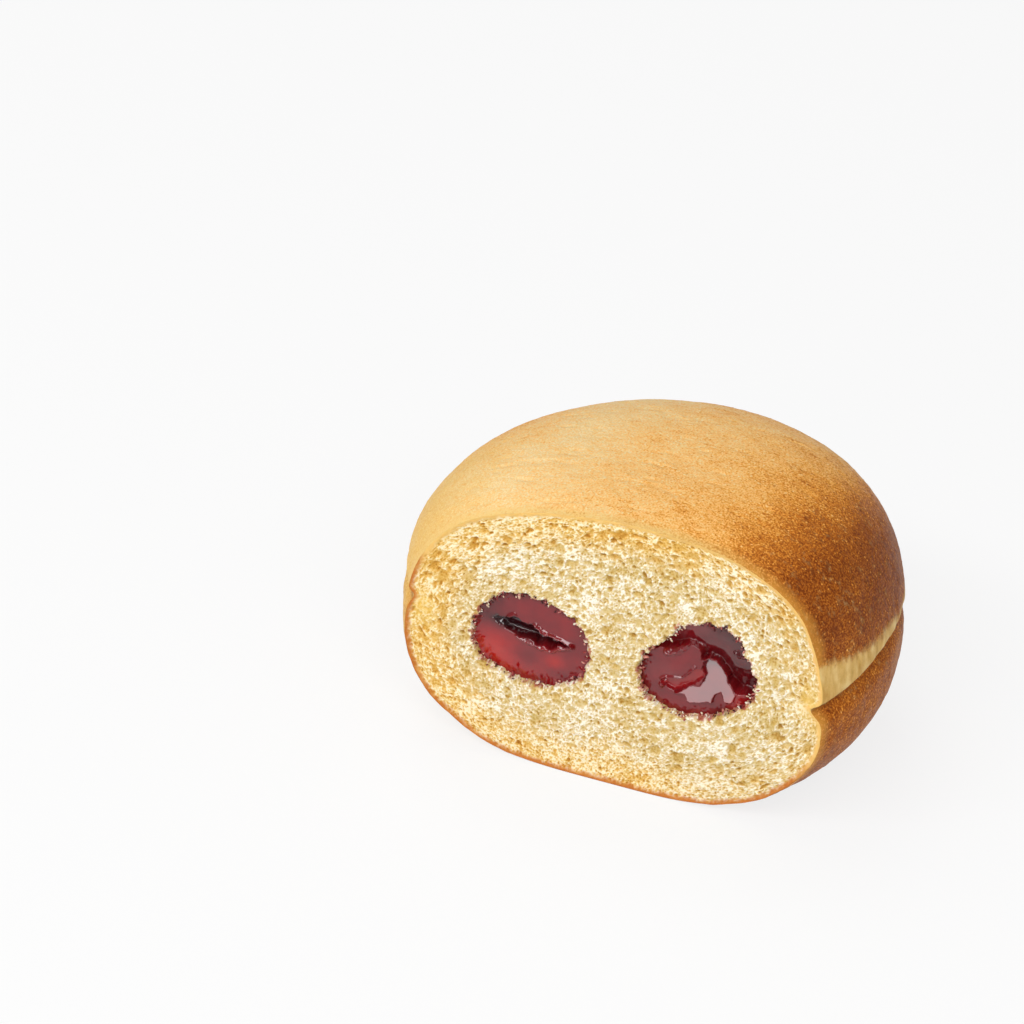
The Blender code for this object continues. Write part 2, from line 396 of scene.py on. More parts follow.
def crust_piece(name, dome, material):
    """Half of the crust: a disc grid wrapped over the body, cut and closed. Gives its cut edge."""
    share, angle, x, y = disc_grid(CRUST_CELLS, CRUST_CELLS)
    if dome:
        arc = share * SEAM_ARC
    else:
        angle = -angle
        arc = ARC[-1] - share * (ARC[-1] - SEAM_ARC)
    points = body_points(arc, angle)
    flat_spot = smoothstep(0.0, 1.2, points[..., 2])
    above_seam = SEAM_ARC - arc
    relief = crust_relief(points, above_seam) * flat_spot
    points = points + grid_normals(points) * relief[..., None]
    uv = np.stack([x, y], axis=-1) / 2 + 0.5
    faces = grid_faces(*arc.shape)
    mesh = make_mesh(name, to_frame(points), faces, uv, {"arc": arc})

    work = bmesh.new()
    work.from_mesh(mesh)
    cut_depth = cad_box[0].y
    bmesh.ops.bisect_plane(work, geom=work.verts[:] + work.edges[:] + work.faces[:],
                           dist=1e-7, plane_co=(0, cut_depth, 0), plane_no=(0, -1, 0),
                           clear_outer=True)
    rim = [v.co.copy() for v in work.verts if abs(v.co.y - cut_depth) < 1e-7]
    inner = Vector((0.0, cut_depth + SHELL_TIP * MM, SEAM_HEIGHT * MM))
    close_behind(work, cut_depth, inner)
    put_in_order(work.verts, lambda vertex: vertex.co[:])
    put_in_order(work.faces, lambda face: face.calc_center_median()[:])
    work.to_mesh(mesh)
    work.free()

    final = mesh_points(mesh)
    kept_arc = np.zeros(len(mesh.vertices))
    mesh.attributes["arc"].data.foreach_get("value", kept_arc)
    for key, value in crust_values(final, kept_arc, dome).items():
        mesh.attributes.new(key, "FLOAT", "POINT").data.foreach_set("value", value)
    add_piece(name, mesh, material, "baked_dough", "dough")
    return rim


# ------------------------------ crumb

FACE_MIDDLE = np.array([0.0, 25.0])
RASTER_STEP = 0.1
RASTER_ACROSS = np.arange(-40.0, 40.0, RASTER_STEP)
RASTER_UP = np.arange(-2.0, 55.0, RASTER_STEP)


def face_outline(rims):
    """Outline of the cut as angles and radii round the middle of the face."""
    flat = np.array([(p.x / MM - AXIS[0], p.z / MM) for rim in rims for p in rim]) - FACE_MIDDLE
    angle, radius = np.arctan2(flat[:, 1], flat[:, 0]), np.hypot(flat[:, 0], flat[:, 1])
    order = np.argsort(angle)
    return angle[order], radius[order]


def mouth_radius(angle, pocket):
    half_width, half_height = pocket["half_width"], pocket["half_height"]
    ellipse = half_width * half_height / np.hypot(half_height * np.cos(angle),
                                                  half_width * np.sin(angle))
    return ellipse * (1 + pocket["corners"] * np.cos(3 * (angle - pocket["corner_angle"])))


def torn_radius(angle, pocket):
    """Radius of the pocket's torn mouth at an angle round its middle."""
    radius = mouth_radius(angle - pocket["tilt"], pocket)
    for middle, out, width in pocket["bulges"]:
        away = (np.degrees(angle) - middle + 180) % 360 - 180
        radius = radius + out * np.exp(-(away / width) ** 2)
    return radius


def outside_pocket(across, up, pocket):
    """Distance out from a pocket's edge, in millimetres; it is negative inside."""
    x, z = across - pocket["across"], up - pocket["up"]
    return np.hypot(x, z) - torn_radius(np.arctan2(z, x), pocket)


def foam(spot, size, lie, squash, seed):
    """Bubbles of a foam: depth inside a bubble's wall, and two numbers of the bubble's own.

    The bubbles lie along the directions in lie, and are squashed across them.
    """
    cell = np.floor(spot / size).astype(np.int64)
    nearest = np.full(spot.shape[:-1], 1e6)
    second = nearest
    owner = cell
    for step in product((-2, -1, 0, 1, 2), repeat=2):
        here = cell + np.array(step)
        jitter = np.stack([chance(here, seed), chance(here, seed + 1)], axis=-1)
        away = (here + 0.5 + 0.48 * jitter) * size - spot
        along = away[..., 0] * lie[..., 0] + away[..., 1] * lie[..., 1]
        across = away[..., 1] * lie[..., 0] - away[..., 0] * lie[..., 1]
        distance = np.hypot(along / squash, across * squash)
        closer = distance < nearest
        second = np.where(closer, nearest, np.minimum(second, distance))
        owner = np.where(closer[..., None], here, owner)
        nearest = np.where(closer, distance, nearest)
    one, two = chance(owner, seed + 2) / 2 + 0.5, chance(owner, seed + 3) / 2 + 0.5
    radius = size * (0.28 + 0.42 * one)
    return np.minimum((second - nearest) / 2, radius - nearest), one, two


# The crumb's bubbles: size, share of them that are open, thickness of the walls, depth.
BUBBLES = ((2.3, 0.36, 0.12, 0.5), (1.25, 0.55, 0.09, 0.5), (0.78, 0.72, 0.06, 0.32),
           (0.45, 0.9, 0.03, 0.18))


def crumb_raster(outline):
    """Depth of the cut crumb, and the painted shade in its open bubbles, on a fine raster."""
    across, up = np.meshgrid(RASTER_ACROSS, RASTER_UP)
    spot = np.stack([across, up], axis=-1)
    x, z = across - FACE_MIDDLE[0], up - FACE_MIDDLE[1]
    from_edge = np.interp(np.arctan2(z, x), *outline, period=2 * pi) - np.hypot(x, z)
    lie = np.stack([-z / 24.0 ** 2, x / 38.0 ** 2], axis=-1)
    lie = lie / (np.linalg.norm(lie, axis=-1, keepdims=True) + 1e-9)
    squash = 1.08 + 0.30 * smoothstep(11.0, 2.0, from_edge) * smoothstep(2.0, 12.0, up)
    bent = spot + 0.22 * np.stack([fractal(spot, 1.0, 101, 2), fractal(spot, 1.0, 111, 2)], -1)
    patches = fractal(spot, 8.0, 113, 2)

    depth = np.zeros(across.shape)
    painted_pore_shade = np.zeros(across.shape)
    for level, (size, share, wall, deepest) in enumerate(BUBBLES):
        inside, one, two = foam(bent, size, lie, squash, 200 + 10 * level)
        share = share + 0.35 * patches - 0.5 * smoothstep(9.0, 3.0, up) * (size > 1)
        share = share - 0.6 * smoothstep(2.0, 0.8, from_edge) * (size > 1)
        is_open = two < share
        inside = inside - wall * (0.6 + 0.8 * one)
        bowl = np.clip(inside / (0.16 * size), 0, 1) ** 0.7 * is_open
        deep = (two / np.maximum(share, 0.1)) ** 2
        depth = np.maximum(depth, deepest * (0.35 + 0.65 * deep) * bowl)
        # Painted shade: an open bubble darkens with its depth, most in the deep ones.
        painted_shade = 0.34 + 0.16 * one + (0.30 if size > 2 else 0.60) * deep ** 1.5
        painted_pore_shade = np.maximum(painted_pore_shade, painted_shade * bowl)
    depth = depth * smoothstep(0.3, 1.0, from_edge)
    return depth, painted_pore_shade


def sample_raster(raster, across, up):
    """Read a raster between its cells."""
    column = np.clip((across - RASTER_ACROSS[0]) / RASTER_STEP, 0, raster.shape[1] - 1.001)
    row = np.clip((up - RASTER_UP[0]) / RASTER_STEP, 0, raster.shape[0] - 1.001)
    c0, r0 = column.astype(int), row.astype(int)
    fc, fr = column - c0, row - r0
    top = raster[r0 + 1, c0] * (1 - fc) + raster[r0 + 1, c0 + 1] * fc
    low = raster[r0, c0] * (1 - fc) + raster[r0, c0 + 1] * fc
    return low * (1 - fr) + top * fr


def crumb_piece(rims, material):
    """The cut face: a slab whose front is full of pores and falls into both pockets."""
    outline = face_outline(rims)
    depth_raster, painted_pore_shade_raster = crumb_raster(outline)
    share, angle, x, y = disc_grid(*CRUMB_CELLS)
    radius = np.interp(angle, *outline, period=2 * pi) * share
    across = FACE_MIDDLE[0] + radius * np.cos(angle)
    up = FACE_MIDDLE[1] + radius * np.sin(angle)
    spot = np.stack([across, up], axis=-1)
    depth = sample_raster(depth_raster, across, up)
    painted_pore_shade = sample_raster(painted_pore_shade_raster, across, up)
    from_edge = np.interp(angle, *outline, period=2 * pi) * (1 - share)

    fibre = 1 - np.abs(fractal(spot, 0.9, 121, 2))
    depth = depth - 0.16 * fibre + 0.07 * fractal(spot, 0.45, 125, 2)
    depth = depth + 0.25 * fractal(spot, 7.0, 131, 2) + 0.35
    depth = depth * smoothstep(0.0, 1.0, from_edge)
    soak = np.zeros(across.shape)
    for pocket in POCKETS.values():
        ragged = 0.75 * fractal(spot, 1.0, 141, 3) + 0.35 * painted_pore_shade
        outside = outside_pocket(across, up, pocket) - ragged
        depth = depth + POCKET_FLOOR * smoothstep(0.15, -0.35, outside)
        soak = np.maximum(soak, 1 - smoothstep(-0.4, 0.8, outside + 0.9 * fractal(spot, 1.2, 151)))
    points = np.stack([across, depth - CUT_FROM_AXIS, up], axis=-1)

    rows, columns = across.shape
    ring = grid_ring(rows, columns)
    flat = points.reshape(-1, 3)
    back = flat[ring] * np.array([0.985, 1.0, 0.97]) + np.array([0.0, 0.0, 0.6])
    back[:, 1] = SLAB_BACK - CUT_FROM_AXIS
    middle = np.array([[0.0, SLAB_BACK - CUT_FROM_AXIS, FACE_MIDDLE[1]]])
    count, around = len(flat), len(ring)
    step = np.arange(around)
    following = (step + 1) % around
    wall = np.stack([ring[step], count + step, count + following, ring[following]], axis=1)
    cap = np.stack([count + step, np.full(around, count + around), count + following], axis=1)
    faces = grid_faces(rows, columns).tolist() + wall.tolist() + cap.tolist()
    everything = np.concatenate([flat, back, middle])
    uv = np.stack([(x + 1) / 2, (y + 1) / 2], axis=-1).reshape(-1, 2)
    uv = np.concatenate([uv, uv[ring], [[0.5, 0.5]]])
    pad = around + 1
    doughy = np.exp(-((across + 34.8) / 2.2) ** 2 - ((up - 25.5) / 3.6) ** 2)
    doughy = doughy + np.exp(-((across - 34.8) / 1.9) ** 2 - ((up - 26.0) / 3.8) ** 2)
    underside = smoothstep(17.0, 9.0, up) + smoothstep(-34.0, -36.5, across)
    warm = smoothstep(12.0, 0.0, from_edge) * (1.0 - 0.5 * smoothstep(4.0, 28.0, across))
    warm = warm + 0.25 * smoothstep(-12.0, -34.0, across)
    values = {"painted_pore_shade": painted_pore_shade, "from_edge": from_edge, "warm": warm, "soak": soak, "doughy": doughy,
              "underside": np.clip(underside, 0, 1)}
    values = {k: np.concatenate([v.ravel(), np.zeros(pad)]) for k, v in values.items()}
    mesh = make_mesh("crumb_face", to_frame(everything), faces, uv, values)
    add_piece("crumb_face", mesh, material, "baked_dough", "dough")


# ------------------------------ jelly

def from_line(x, z, line):
    """Distance from a line through the given points."""
    best = np.full(x.shape, 1e6)
    for (x0, z0), (x1, z1) in zip(line, line[1:]):
        dx, dz = x1 - x0, z1 - z0
        share = np.clip(((x - x0) * dx + (z - z0) * dz) / (dx * dx + dz * dz), 0, 1)
        best = np.minimum(best, np.hypot(x - x0 - share * dx, z - z0 - share * dz))
    return best


def outside_of(x, z, outline):
    """Distance out from a closed outline; it is negative inside."""
    closed = outline + outline[:1]
    crossings = np.zeros(x.shape, int)
    for (x0, z0), (x1, z1) in zip(closed, closed[1:]):
        spans = (z0 <= z) != (z1 <= z)
        meets = x0 + (z - z0) * (x1 - x0) / (z1 - z0 if z1 != z0 else 1.0)
        crossings += spans & (x < meets)
    return from_line(x, z, closed) * np.where(crossings % 2 == 1, -1, 1)


def bead(x, z, line, height, width):
    """A ridge of jelly along a line, with even slopes and a rounded crest."""
    away = from_line(x, z, line) / width
    return height * np.clip(1.15 - np.sqrt(away ** 2 + 0.0225), 0, None)


def blob(x, z, middle, reach):
    """A soft spot, 1 in the middle."""
    return np.exp(-((x - middle[0]) / reach[0]) ** 2 - ((z - middle[1]) / reach[1]) ** 2)


# Lips of the fold in the left jelly, from the middle of its pocket.
UPPER_LIP = [(-3.0, 3.2), (-1.0, 2.9), (0.7, 2.5), (2.0, 1.7), (3.8, 1.1), (5.6, 0.6), (7.2, 0.1)]
LOWER_LIP = [(7.2, 0.1), (6.1, -0.4), (4.9, -0.6), (3.6, -1.4), (2.3, -1.2), (1.1, -0.7),
             (-0.5, -0.5), (-2.2, 0.1)]
FOLD = UPPER_LIP + LOWER_LIP[1:] + [(-4.2, 0.3), (-6.6, 0.5), (-8.2, 1.4), (-7.4, 2.4),
                                    (-5.2, 2.9)]


def left_face(x, z):
    """The left jelly: how deep its face lies behind the cut, and how brightly red it is, with
    painted shade in and beside its fold.
    """
    spot = np.stack([x, z], axis=-1)
    uneven = spot + 0.5 * np.stack([fractal(spot, 1.3, 3, 2), fractal(spot, 1.3, 5, 2)], -1)
    ux, uz = uneven[..., 0], uneven[..., 1]
    depth = 0.7 + 0.010 * (x * x + 1.3 * z * z) + 0.12 * fractal(spot, 3.5, 7, 2)
    inside = -outside_of(ux, uz, FOLD)
    falls = 0.6 + 0.36 * np.clip(3.0 - z, 0, 5)
    open_end = smoothstep(-9.0, -4.0, x)
    sunk = smoothstep(0.0, 0.8 + 2.2 * (1 - open_end), inside)
    depth = depth + falls * sunk * (0.4 + 0.6 * open_end)
    lumpy = 0.95 + 0.25 * fractal(spot, 0.9, 9, 2)
    depth = depth - lumpy * bead(ux, uz, UPPER_LIP[2:], 0.55, 0.52)
    depth = depth - lumpy * bead(ux, uz + 0.36, LOWER_LIP, 0.66, 0.62)
    depth = depth - bead(ux, uz, [(-0.4, 2.4), (0.8, 1.5), (2.0, 1.7)], 0.34, 0.34)
    depth = depth - bead(ux, uz, [(-4.3, 2.9), (-3.1, 3.4)], 0.45, 0.45)
    depth = depth - bead(ux, uz, [(6.6, -7.4), (7.4, -6.5), (8.8, -6.0)], 0.45, 0.45)
    red = 0.50 + 0.08 * fractal(spot, 4.0, 11, 2)
    red = (red + 0.55 * blob(x, z, (-7.0, -4.2), (3.4, 3.2))
           + 0.25 * blob(x, z, (-3.5, -7.0), (5, 2)))
    red = red + 0.35 * blob(x, z, (4.3, -3.9), (1.6, 1.6))
    # Painted shade: darker red inside the fold and in a patch left of it.
    red = red - 0.42 * smoothstep(-0.2, 0.5 + 2.0 * (1 - open_end), inside)
    red = red - 0.30 * blob(x, z, (-6.0, 1.4), (3.6, 1.5))
    red = red + 0.18 * blob(x, z, (3.2, -0.9), (1.4, 0.7))
    return depth, red - 0.12 * blob(x, z, (-7.0, 4.0), (3.0, 2.5))


# The right jelly: the slumped patch that catches the light, the edge of the tongue beside it,
# and the outline of the lobes in front of the dark hollow.
PATCH = [(0.6, 1.9), (1.4, 2.4), (2.6, 2.0), (3.6, 1.1), (4.2, -0.1), (5.0, -2.0), (6.3, -3.6),
         (5.4, -4.9), (4.3, -5.1), (3.6, -3.8), (2.9, -4.6), (2.5, -5.9), (0.4, -6.2),
         (-1.1, -6.6), (-2.1, -6.1), (-2.3, -5.2), (-4.4, -5.6), (-2.8, -4.5), (-1.1, -3.6),
         (0.3, -2.7), (0.9, -1.4), (0.2, -0.3), (0.4, 0.9)]
TONGUE_EDGE = [(-6.4, -3.5), (-5.2, -3.0), (-3.0, -2.3), (-2.1, -1.3), (-1.7, -0.5), (-0.9, 0.1)]
TONGUE = TONGUE_EDGE + [(0.3, 0.0), (1.0, -1.4), (-1.1, -3.6), (-4.4, -5.6), (-6.0, -5.2),
                        (-6.9, -4.2)]
FRONT_LOBES = [(-13.0, -13.0), (-13.0, 1.0), (-8.6, 2.4), (-6.2, 3.2), (-4.6, 3.7), (-3.2, 4.6),
               (-1.4, 4.9), (-0.2, 3.9), (0.3, 2.4), (1.4, 2.8), (2.8, 2.3), (3.9, 1.2),
               (4.5, -0.1), (5.3, -2.0), (6.7, -3.3), (9.0, -3.0), (13.0, -4.0), (13.0, -13.0)]

# Depth and slopes of the patch, which leans back enough to shine.
PATCH_FRONT = 0.55
PATCH_ACROSS = 0.05
PATCH_UP = 0.38
BACK_LEAN = 0.28            # how the jelly behind the lobes leans, so that it stays dark


def right_face(x, z):
    """The right jelly: how deep its face lies behind the cut, and how brightly red it is, with
    painted shade in the hollow behind its lobes.
    """
    spot = np.stack([x, z], axis=-1)
    uneven = spot + 0.45 * np.stack([fractal(spot, 1.2, 13, 2), fractal(spot, 1.2, 15, 2)], -1)
    ux, uz = uneven[..., 0], uneven[..., 1]
    behind = 1.3 + BACK_LEAN * np.clip(9.0 - z, 0, 13) + 0.15 * fractal(spot, 2.5, 17, 2)
    front = 0.7 + 0.06 * np.clip(x, 0, 9) + 0.10 * fractal(spot, 3.0, 18, 2)
    front = front + 0.9 - 0.9 * blob(x, z, (-4.0, 0.6), (5.5, 4.2))
    inside_lobes = -outside_of(ux, uz, FRONT_LOBES)
    forward = smoothstep(-0.25, 0.35, inside_lobes)
    depth = behind * (1 - forward) + front * forward
    inside_tongue = -outside_of(ux, uz, TONGUE)
    depth = depth + 0.8 * smoothstep(0.0, 0.5, inside_tongue)
    inside_patch = -outside_of(ux, uz, PATCH)
    slumped = PATCH_FRONT + PATCH_ACROSS * (x - 2.0) + PATCH_UP * (z + 6.5)
    caught = smoothstep(-0.10, 0.14, inside_patch)
    depth = depth * (1 - caught) + caught * (slumped + 0.015 * fractal(spot, 2.0, 19, 2))
    depth = depth - bead(ux, uz, TONGUE_EDGE, 0.40, 0.40)
    depth = depth - bead(ux, uz, [(-6.5, -4.9), (-6.3, -4.5)], 0.6, 0.6)
    depth = depth - bead(ux, uz, [(-6.0, 2.2), (-4.6, 2.7), (-3.3, 3.6), (-2.6, 4.3)], 0.60, 0.60)
    depth = depth - bead(ux, uz, [(5.6, 4.4), (6.4, 3.9), (7.2, 4.1)], 0.65, 0.65)
    red = 0.46 + 0.08 * fractal(spot, 4.0, 21, 2)
    # Painted shade: darker red in the hollow behind the lobes, more to the right.
    red = red - 0.22 * (1 - forward) * smoothstep(-3.0, 4.0, x)
    red = red + 0.30 * smoothstep(0.0, 0.6, inside_tongue)
    return depth, red + 0.35 * blob(x, z, (7.0, -5.0), (2.0, 1.5))


JELLY_FACES = {"left": left_face, "right": right_face}
JELLY_RIM = {"left": 1.0, "right": 1.9}     # how deep each jelly's rim lies behind the cut
JELLY_PAST_MOUTH = 0.9      # how far a jelly's face runs out past the torn mouth
RIM_SHARPNESS = 14          # a higher power keeps the turn to the rim closer to the edge
BODY_RINGS = 12             # rings of points along the body of a jelly


def jelly_piece(side, material):
    """One jelly: a folded wet face in front of a body that runs back into the dough."""
    pocket = POCKETS[side]
    share, angle, x, y = disc_grid(JELLY_CELLS, JELLY_CELLS)
    reach = (torn_radius(angle, pocket) + JELLY_PAST_MOUTH) * share
    local_x, local_z = reach * np.cos(angle), reach * np.sin(angle)
    depth, red = JELLY_FACES[side](local_x, local_z)
    at_rim = share ** RIM_SHARPNESS
    depth = depth * (1 - at_rim) + JELLY_RIM[side] * at_rim
    points = np.stack([local_x + pocket["across"], depth - CUT_FROM_AXIS,
                       local_z + pocket["up"]], axis=-1)
    rows, columns = share.shape
    ring = grid_ring(rows, columns)
    flat = points.reshape(-1, 3)
    around = len(ring)
    ring_angle = angle.ravel()[ring]
    edge = mouth_radius(ring_angle - pocket["tilt"], pocket) + 0.1
    layers, faces = [flat], [grid_faces(rows, columns)]
    step = np.arange(around)
    following = (step + 1) % around
    last = ring
    count = len(flat)
    for way in np.linspace(0.08, 0.985, BODY_RINGS):
        taper = (1 - way ** POCKET_TAPER) ** (1 / POCKET_TAPER)
        drift = way ** 2
        layer = np.stack([
            pocket["across"] + edge * taper * np.cos(ring_angle) + drift * pocket["drift_across"],
            np.full(around, way * pocket["length"] - CUT_FROM_AXIS),
            pocket["up"] + edge * taper * np.sin(ring_angle) + drift * pocket["drift_up"]],
            axis=-1)
        this = count + step
        faces.append(np.stack([last[step], this[step], this[following], last[following]], axis=1))
        layers.append(layer)
        last = this
        count += around
    tip = layers[-1].mean(axis=0, keepdims=True)
    layers.append(tip)
    all_faces = [f for block in faces for f in block.tolist()]
    all_faces += [(int(last[i]), count, int(last[j])) for i, j in zip(step, following)]
    everything = np.concatenate(layers)
    uv = np.zeros((len(everything), 2))
    uv[:len(flat)] = np.stack([(x + 1) / 2, (y + 1) / 2], axis=-1).reshape(-1, 2)
    redness = np.full(len(everything), 0.4)
    redness[:len(flat)] = red.ravel()
    mesh = make_mesh("jelly_" + side, to_frame(everything), all_faces, uv, {"red": redness})
    add_piece("filling_" + side, mesh, material, "red_jelly", "jelly_" + side)


# ------------------------------ loose crumbs

BITS_PER_POCKET = 210
BIT_SIZE = (0.07, 0.19)
BIT_LENGTH = (1.0, 2.2)     # how many times longer than wide
BIT_DEPTH = (0.2, 1.2)      # how far behind the cut
# Round each pocket, how soaked with jelly its crumbs are, by angle in degrees.
SOAKED = {"left": ((0, 0.45), (60, 0.8), (90, 0.9), (130, 0.75), (180, 0.7), (250, 0.6),
                   (360, 0.45)),
          "right": ((0, 0.3), (45, 0.9), (80, 0.8), (120, 0.3), (180, 0.7), (260, 0.5),
                    (318, 1.0), (340, 0.7), (360, 0.3))}


def ball():
    """A rough small ball of 80 triangles: its points and faces."""
    work = bmesh.new()
    bmesh.ops.create_icosphere(work, subdivisions=2, radius=1.0)
    points = np.array([v.co[:] for v in work.verts])
    faces = np.array([[v.index for v in f.verts] for f in work.faces])
    work.free()
    return points, faces


def crumb_bits(material):
    """Torn crumbs round the rims of both pockets, some pale and some soaked with jelly."""
    rng = np.random.default_rng(11)
    ball_points, ball_faces = ball()
    layers, faces, soaked = [], [], []
    for side, pocket in POCKETS.items():
        angles, shares = zip(*SOAKED[side])
        for angle in rng.uniform(0, 2 * pi, BITS_PER_POCKET):
            wet = float(np.interp(np.degrees(angle), angles, shares))
            size = rng.uniform(*BIT_SIZE) * (1 + 0.8 * (rng.random() < 0.10))
            radius = torn_radius(angle, pocket) + rng.normal(0.05, 0.38)
            long = rng.uniform(*BIT_LENGTH)
            shape = ball_points * (1 + rng.uniform(-0.4, 0.4, (len(ball_points), 1)))
            shape = shape * np.array([long, 1.0, 0.8]) * size
            turn = angle + rng.normal(0, 0.6)
            across = shape[:, 0] * cos(turn) - shape[:, 2] * sin(turn) + radius * cos(angle)
            up = shape[:, 0] * sin(turn) + shape[:, 2] * cos(turn) + radius * sin(angle)
            depth = shape[:, 1] + rng.uniform(*BIT_DEPTH)
            faces.append(ball_faces + len(ball_points) * len(layers))
            layers.append(np.stack([across + pocket["across"], depth - CUT_FROM_AXIS,
                                    up + pocket["up"]], axis=-1))
            soaked.append(np.full(len(ball_points), wet + rng.normal(0, 0.35)))
    points = np.concatenate(layers)
    uv = points[:, [0, 2]] / 90 + 0.5
    mesh = make_mesh("crumb_bits", to_frame(points), np.concatenate(faces).tolist(), uv,
                     {"soaked": np.concatenate(soaked)})
    add_piece("crumb_bits", mesh, material, "baked_dough")


# ------------------------------ materials

class Nodes:
    """Short hand for building a material's node tree."""

    def __init__(self, name):
        self.material = bpy.data.materials.new(name)
        self.material.use_nodes = True
        self.tree = self.material.node_tree
        self.shader = self.tree.nodes["Principled BSDF"]
        coordinates = self.new("TexCoord")
        self.place = coordinates.outputs["Object"]

    def new(self, kind):
        return self.tree.nodes.new("ShaderNode" + kind)

    def link(self, source, target):
        self.tree.links.new(source, target)

    def noise(self, scale, detail=3.0, stretch=None):
        node = self.new("TexNoise")
        node.inputs["Scale"].default_value = scale
        node.inputs["Detail"].default_value = detail
        source = self.place
        if stretch:
            mapping = self.new("Mapping")
            mapping.inputs["Scale"].default_value = stretch
            self.link(self.place, mapping.inputs["Vector"])
            source = mapping.outputs["Vector"]
        self.link(source, node.inputs["Vector"])
        return node.outputs["Fac"]

    def dots(self, scale, small, large):
        """Round spots, 1 in the middle, one in each cell of a random foam."""
        node = self.new("TexVoronoi")
        node.inputs["Scale"].default_value = scale
        self.link(self.place, node.inputs["Vector"])
        return self.rescale(node.outputs["Distance"], small, large, 1.0, 0.0)

    def attribute(self, name):
        node = self.new("Attribute")
        node.attribute_name = name
        return node.outputs["Fac"]

    def math(self, operation, first, second):
        node = self.new("Math")
        node.operation = operation
        for socket, value in zip(node.inputs, (first, second)):
            if isinstance(value, (int, float)):
                socket.default_value = value
            else:
                self.link(value, socket)
        return node.outputs["Value"]

    def add(self, first, second):
        return self.math("ADD", first, second)

    def times(self, first, second):
        return self.math("MULTIPLY", first, second)

    def around(self, noise, amount):
        """A noise turned to run from about -amount to amount."""
        return self.times(self.math("SUBTRACT", noise, 0.5), amount * 2)

    def rescale(self, value, low, high, to_low=0.0, to_high=1.0):
        node = self.new("MapRange")
        node.interpolation_type = "SMOOTHSTEP"
        self.link(value, node.inputs["Value"])
        for key, number in (("From Min", low), ("From Max", high),
                            ("To Min", to_low), ("To Max", to_high)):
            node.inputs[key].default_value = number
        return node.outputs["Result"]

    def ramp(self, value, stops):
        node = self.new("ValToRGB")
        elements = node.color_ramp.elements
        while len(elements) < len(stops):
            elements.new(0.5)
        for element, (position, colour) in zip(elements, stops):
            element.position = position
            element.color = colour
        self.link(value, node.inputs["Fac"])
        return node.outputs["Color"]

    def mix(self, factor, first, second):
        node = self.new("Mix")
        node.data_type = "RGBA"
        for key, value in (("Factor", factor), ("A", first), ("B", second)):
            socket = [s for s in node.inputs if s.name == key and s.enabled][0]
            if isinstance(value, (int, float, tuple)):
                socket.default_value = value
            else:
                self.link(value, socket)
        return [s for s in node.outputs if s.enabled][0]

    def bump(self, height, strength, distance, normal=None):
        node = self.new("Bump")
        node.inputs["Strength"].default_value = strength
        node.inputs["Distance"].default_value = distance
        self.link(height, node.inputs["Height"])
        if normal:
            self.link(normal, node.inputs["Normal"])
        return node.outputs["Normal"]

    def set(self, **values):
        for key, value in values.items():
            socket = self.shader.inputs[key.replace("_", " ")]
            if isinstance(value, (int, float, tuple)):
                socket.default_value = value
            else:
                self.link(value, socket)


CRUST_STOPS = [
    (0.00, srgb(246, 218, 164)),
    (0.16, srgb(242, 206, 142)),
    (0.30, srgb(248, 196, 122)),
    (0.42, srgb(242, 178, 94)),
    (0.54, srgb(226, 152, 60)),
    (0.66, srgb(200, 120, 40)),
    (0.80, srgb(166, 90, 26)),
    (0.92, srgb(146, 74, 20)),
    (1.00, srgb(120, 56, 14)),
]


